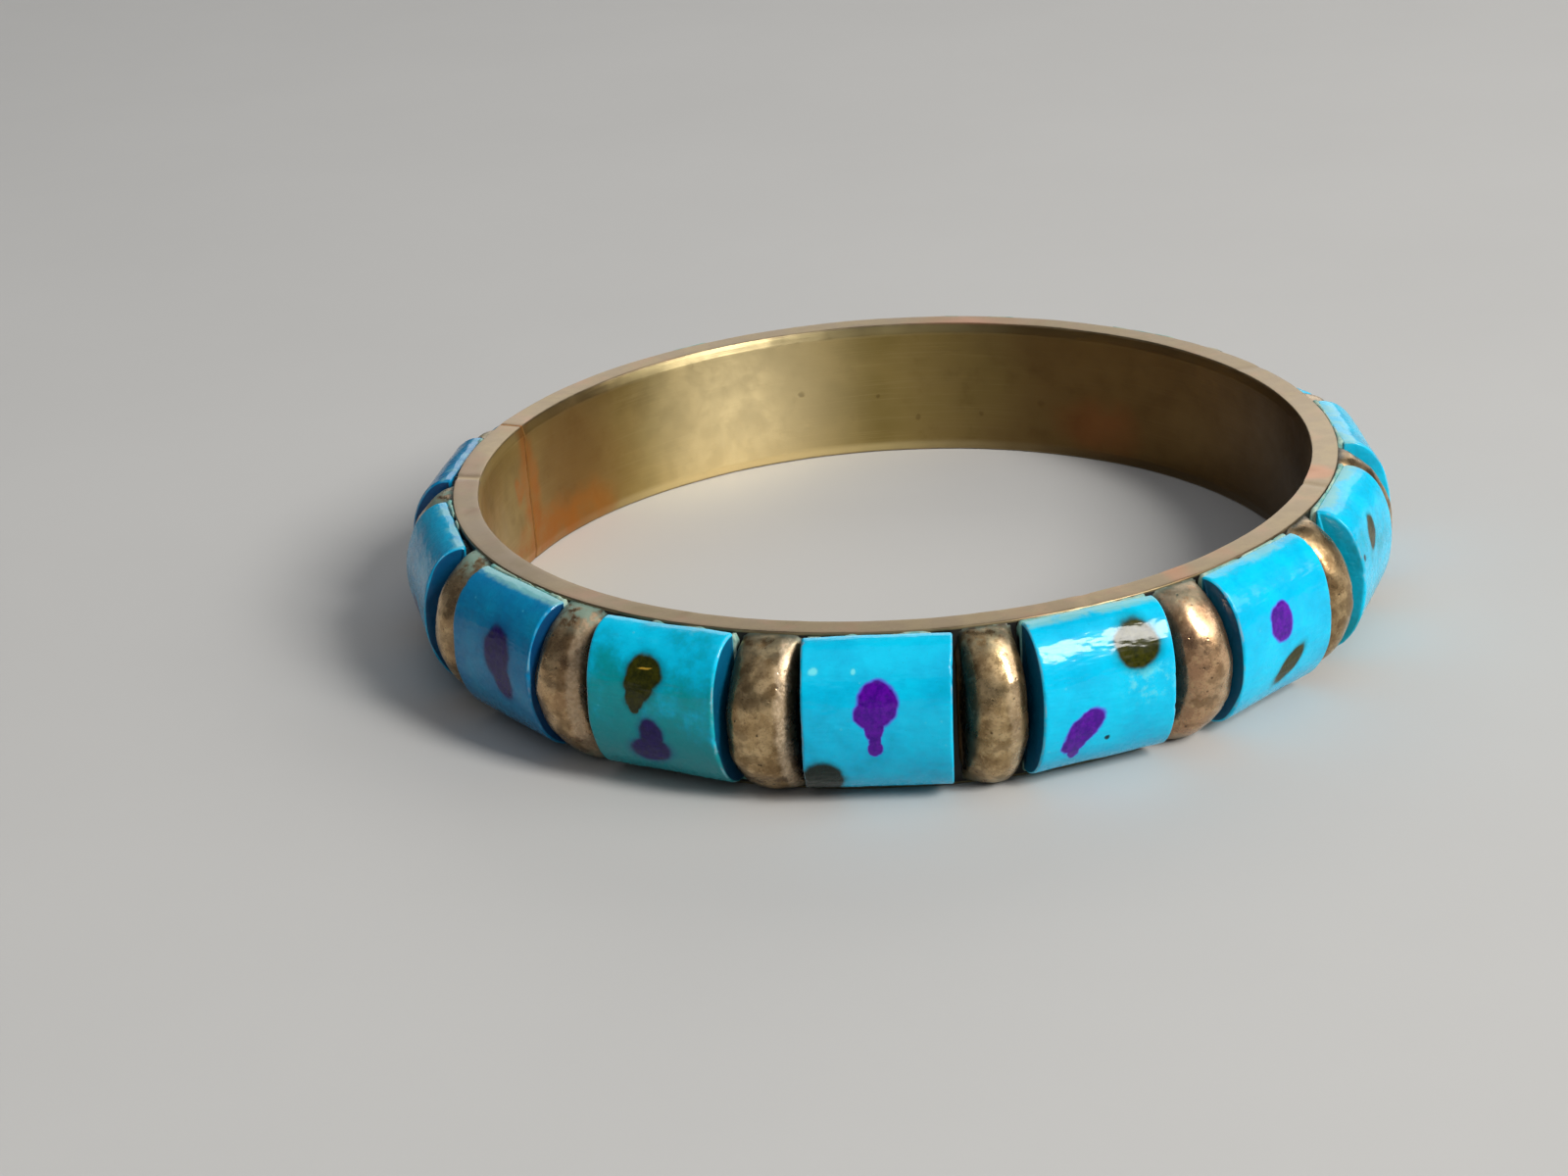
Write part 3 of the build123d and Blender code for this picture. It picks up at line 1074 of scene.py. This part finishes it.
def band_paint():
    """Brass brushed round the bore, duller on the rims and painted nearly black as shade behind the
    tiles.
    """
    g = Graph("band_paint")
    place = g.attribute("local")
    drift = g.vector("ADD", place, g.wobble(place, 0.3, 3.5))
    brushed = g.noise(g.vector("MULTIPLY", place, (0.05, 0.05, 2.4)), 3.0, 4.0, 0.6)
    middle = g.noise(place, 0.45, 4.0, 0.6)
    fine = g.noise(place, 4.0, 4.0, 0.7)
    pits = band_pits(g, place)
    bore = bore_colour(g, place, drift, brushed, middle, pits)
    rim = g.step(g.math("ABSOLUTE", g.split(place, "Z")), HALF - 0.25, HALF - 0.02)
    colour = g.mix(rim, bore, rim_colour(g, place, drift, middle, fine))
    radius = g.vector("LENGTH", g.vector("MULTIPLY", place, (1, 1, 0)), out="Value")
    outside = g.step(radius, OUTER - 0.2, OUTER - 0.05)
    shaded_outside = g.times(outside, g.minus(1.0, rim))
    # Behind the tiles the band is painted nearly black as shade
    back = g.mix(g.step(middle, 0.35, 0.65), srgb(14, 14, 12), srgb(34, 32, 26))
    colour = g.mix(shaded_outside, colour, back)
    height = g.plus(g.times(brushed, 0.4), g.times(fine, 0.12))
    height = g.minus(height, g.times(pits, 0.8))
    rough = g.step(middle, 0.3, 0.8, 0.3, 0.42)
    rough = g.plus(rough, g.times(g.most([rim, shaded_outside]), 0.08))
    return g.finish(
        Base_Color=colour,
        Metallic=g.minus(1.0, g.times(shaded_outside, 0.7)),
        Roughness=rough,
        Anisotropic=0.6,
        Anisotropic_Rotation=0.25,
        Normal=g.bump(height, 0.00006, 0.5),
    )


def seam_piece():
    """The line of solder that closes the band's ends, a little sunk and uneven."""
    outline = band_outline()
    inward = pointing_in(outline)
    upright = np.column_stack([np.zeros(len(outline)), outline])
    wander = 0.04 * lumps(upright, 4.0, 78)
    rings, patterns = [], []
    for share in np.linspace(-1, 1, 7):
        right = share * (SEAM_HALF + 0.12) + wander
        uneven = 0.008 * lumps(upright + (right[0], 0, 0), 1.4, 77)
        sink = np.clip(0.025 + uneven + 0.05 * share**2, 0, 1)
        section = np.column_stack([right, outline + inward * sink[:, None]])
        rings.append(at(section, SEAM_PITCH * PITCH))
        patterns.append(section)
    points, faces, body = capped(rings, (0.9,))
    local = np.zeros((len(points), 3))
    local[body] = np.vstack(patterns)
    piece = build("band_seam_solder", points, faces, local)
    finish_piece(piece, "seam_solder", solder_paint("seam_paint", 0.0), "band_seam")


def solder_paint(name, dirt_and_shade):
    """Dull coppery solder, under a share of dirt and painted shade."""
    g = Graph(name)
    place = g.attribute("local")
    broad = g.noise(place, 0.6, 4.0, 0.6)
    fine = g.noise(place, 4.0, 3.0, 0.7)
    colour = g.mix(g.step(broad, 0.35, 0.65), srgb(178, 132, 70), srgb(160, 108, 54))
    colour = g.mix(g.step(fine, 0.6, 0.75, 0.0, 0.6), colour, srgb(64, 50, 34))
    # Dirt and painted shade darken the solder, most on the pads in the gaps beside the tiles
    colour = g.mix(g.step(broad, 0.9, 0.2, 0.0, dirt_and_shade), colour, srgb(14, 16, 16))
    return g.finish(
        Base_Color=colour,
        Metallic=1.0 - dirt_and_shade,
        Roughness=0.5,
        Normal=g.bump(fine, 0.00008, 0.6),
    )


# -------------------- stage


def floor_plane():
    """A large plain pale surface under the bangle."""
    steps = np.linspace(-1.6, 1.6, 41) / MM
    count = len(steps)
    points = np.array([(x, y, -HALF - 0.01) for y in steps for x in steps])
    faces = [
        (r * count + c, r * count + c + 1, (r + 1) * count + c + 1, (r + 1) * count + c)
        for r in range(count - 1)
        for c in range(count - 1)
    ]
    floor = build("floor", points, faces, points)
    g = Graph("floor_paint")
    grain = g.noise(g.attribute("local"), 0.02, 4.0, 0.6)
    colour = g.mix(grain, srgb(196, 195, 193), srgb(203, 202, 200))
    paint = g.finish(Base_Color=colour, Roughness=0.9, Specular_IOR_Level=0.1)
    floor.data.materials.append(paint)


def soft_light(name, azimuth, elevation, distance, size, power, colour):
    """A rectangular lamp that faces the bangle; azimuth 0 is in front, on -Y, towards +X."""
    lamp = bpy.data.lights.new(name, "AREA")
    lamp.shape = "RECTANGLE"
    lamp.size, lamp.size_y = size
    lamp.energy = power
    lamp.color = colour
    around, up = math.radians(azimuth), math.radians(elevation)
    way = Vector((math.sin(around) * math.cos(up), -math.cos(around) * math.cos(up), math.sin(up)))
    holder = bpy.data.objects.new(name, lamp)
    holder.location = way * distance
    holder.rotation_euler = way.to_track_quat("Z", "Y").to_euler()
    bpy.context.scene.collection.objects.link(holder)


def studio():
    world = bpy.data.worlds.new("studio")
    bpy.context.scene.world = world
    world.use_nodes = True
    background = world.node_tree.nodes["Background"]
    background.inputs["Color"].default_value = (0.80, 0.86, 0.95, 1.0)
    background.inputs["Strength"].default_value = 0.12
    soft_light("window", 55, 37, 0.9, (0.2, 0.38), 7.0, (1.0, 0.98, 0.94))
    soft_light("doorway", 80, 28, 1.0, (0.6, 0.4), 2.2, (1.0, 0.97, 0.92))
    soft_light("ceiling", 10, 62, 1.3, (1.8, 1.8), 3.9, (0.97, 0.98, 1.0))
    soft_light("back", 172, 23, 1.2, (1.1, 0.7), 4.2, (1.0, 0.98, 0.95))
    bpy.context.scene.view_settings.view_transform = "Standard"


def camera():
    """Close above the front tiles, a little to the right of the first tile's middle."""
    distance, elevation, azimuth = 231.6, math.radians(23.18), math.radians(2.9)
    swing, tip, roll = math.radians(-2.24), math.radians(0.21), math.radians(-4.26)
    lens = bpy.data.cameras.new("camera")
    lens.sensor_width = 36.0
    lens.lens = 67.5
    lens.clip_start = 0.01
    holder = bpy.data.objects.new("camera", lens)
    stand = Vector((0, -math.cos(elevation), math.sin(elevation))) * distance
    ahead = -stand.normalized()
    side = Vector((1, 0, 0))
    ahead = Matrix.Rotation(-swing, 3, side.cross(ahead)) @ ahead
    side = ahead.cross(Vector((0, 0, 1))).normalized()
    ahead = Matrix.Rotation(tip, 3, side) @ ahead
    up = side.cross(ahead)
    tilted = side * math.cos(roll) + up * math.sin(roll)
    upright = up * math.cos(roll) - side * math.sin(roll)
    facing = Matrix((tilted, upright, -ahead)).transposed().to_4x4()
    place = Matrix.Translation((stand - Vector((0, 0, HALF))) * MM)
    holder.matrix_world = Matrix.Rotation(azimuth, 4, "Z") @ place @ facing
    bpy.context.scene.collection.objects.link(holder)
    bpy.context.scene.camera = holder


camera()
studio()
floor_plane()
band_piece()
seam_piece()
solder_pads()
for index in range(1, TILE_COUNT + 1):
    tile_piece(index)
    cement_piece(index)
    spacer_piece(index)
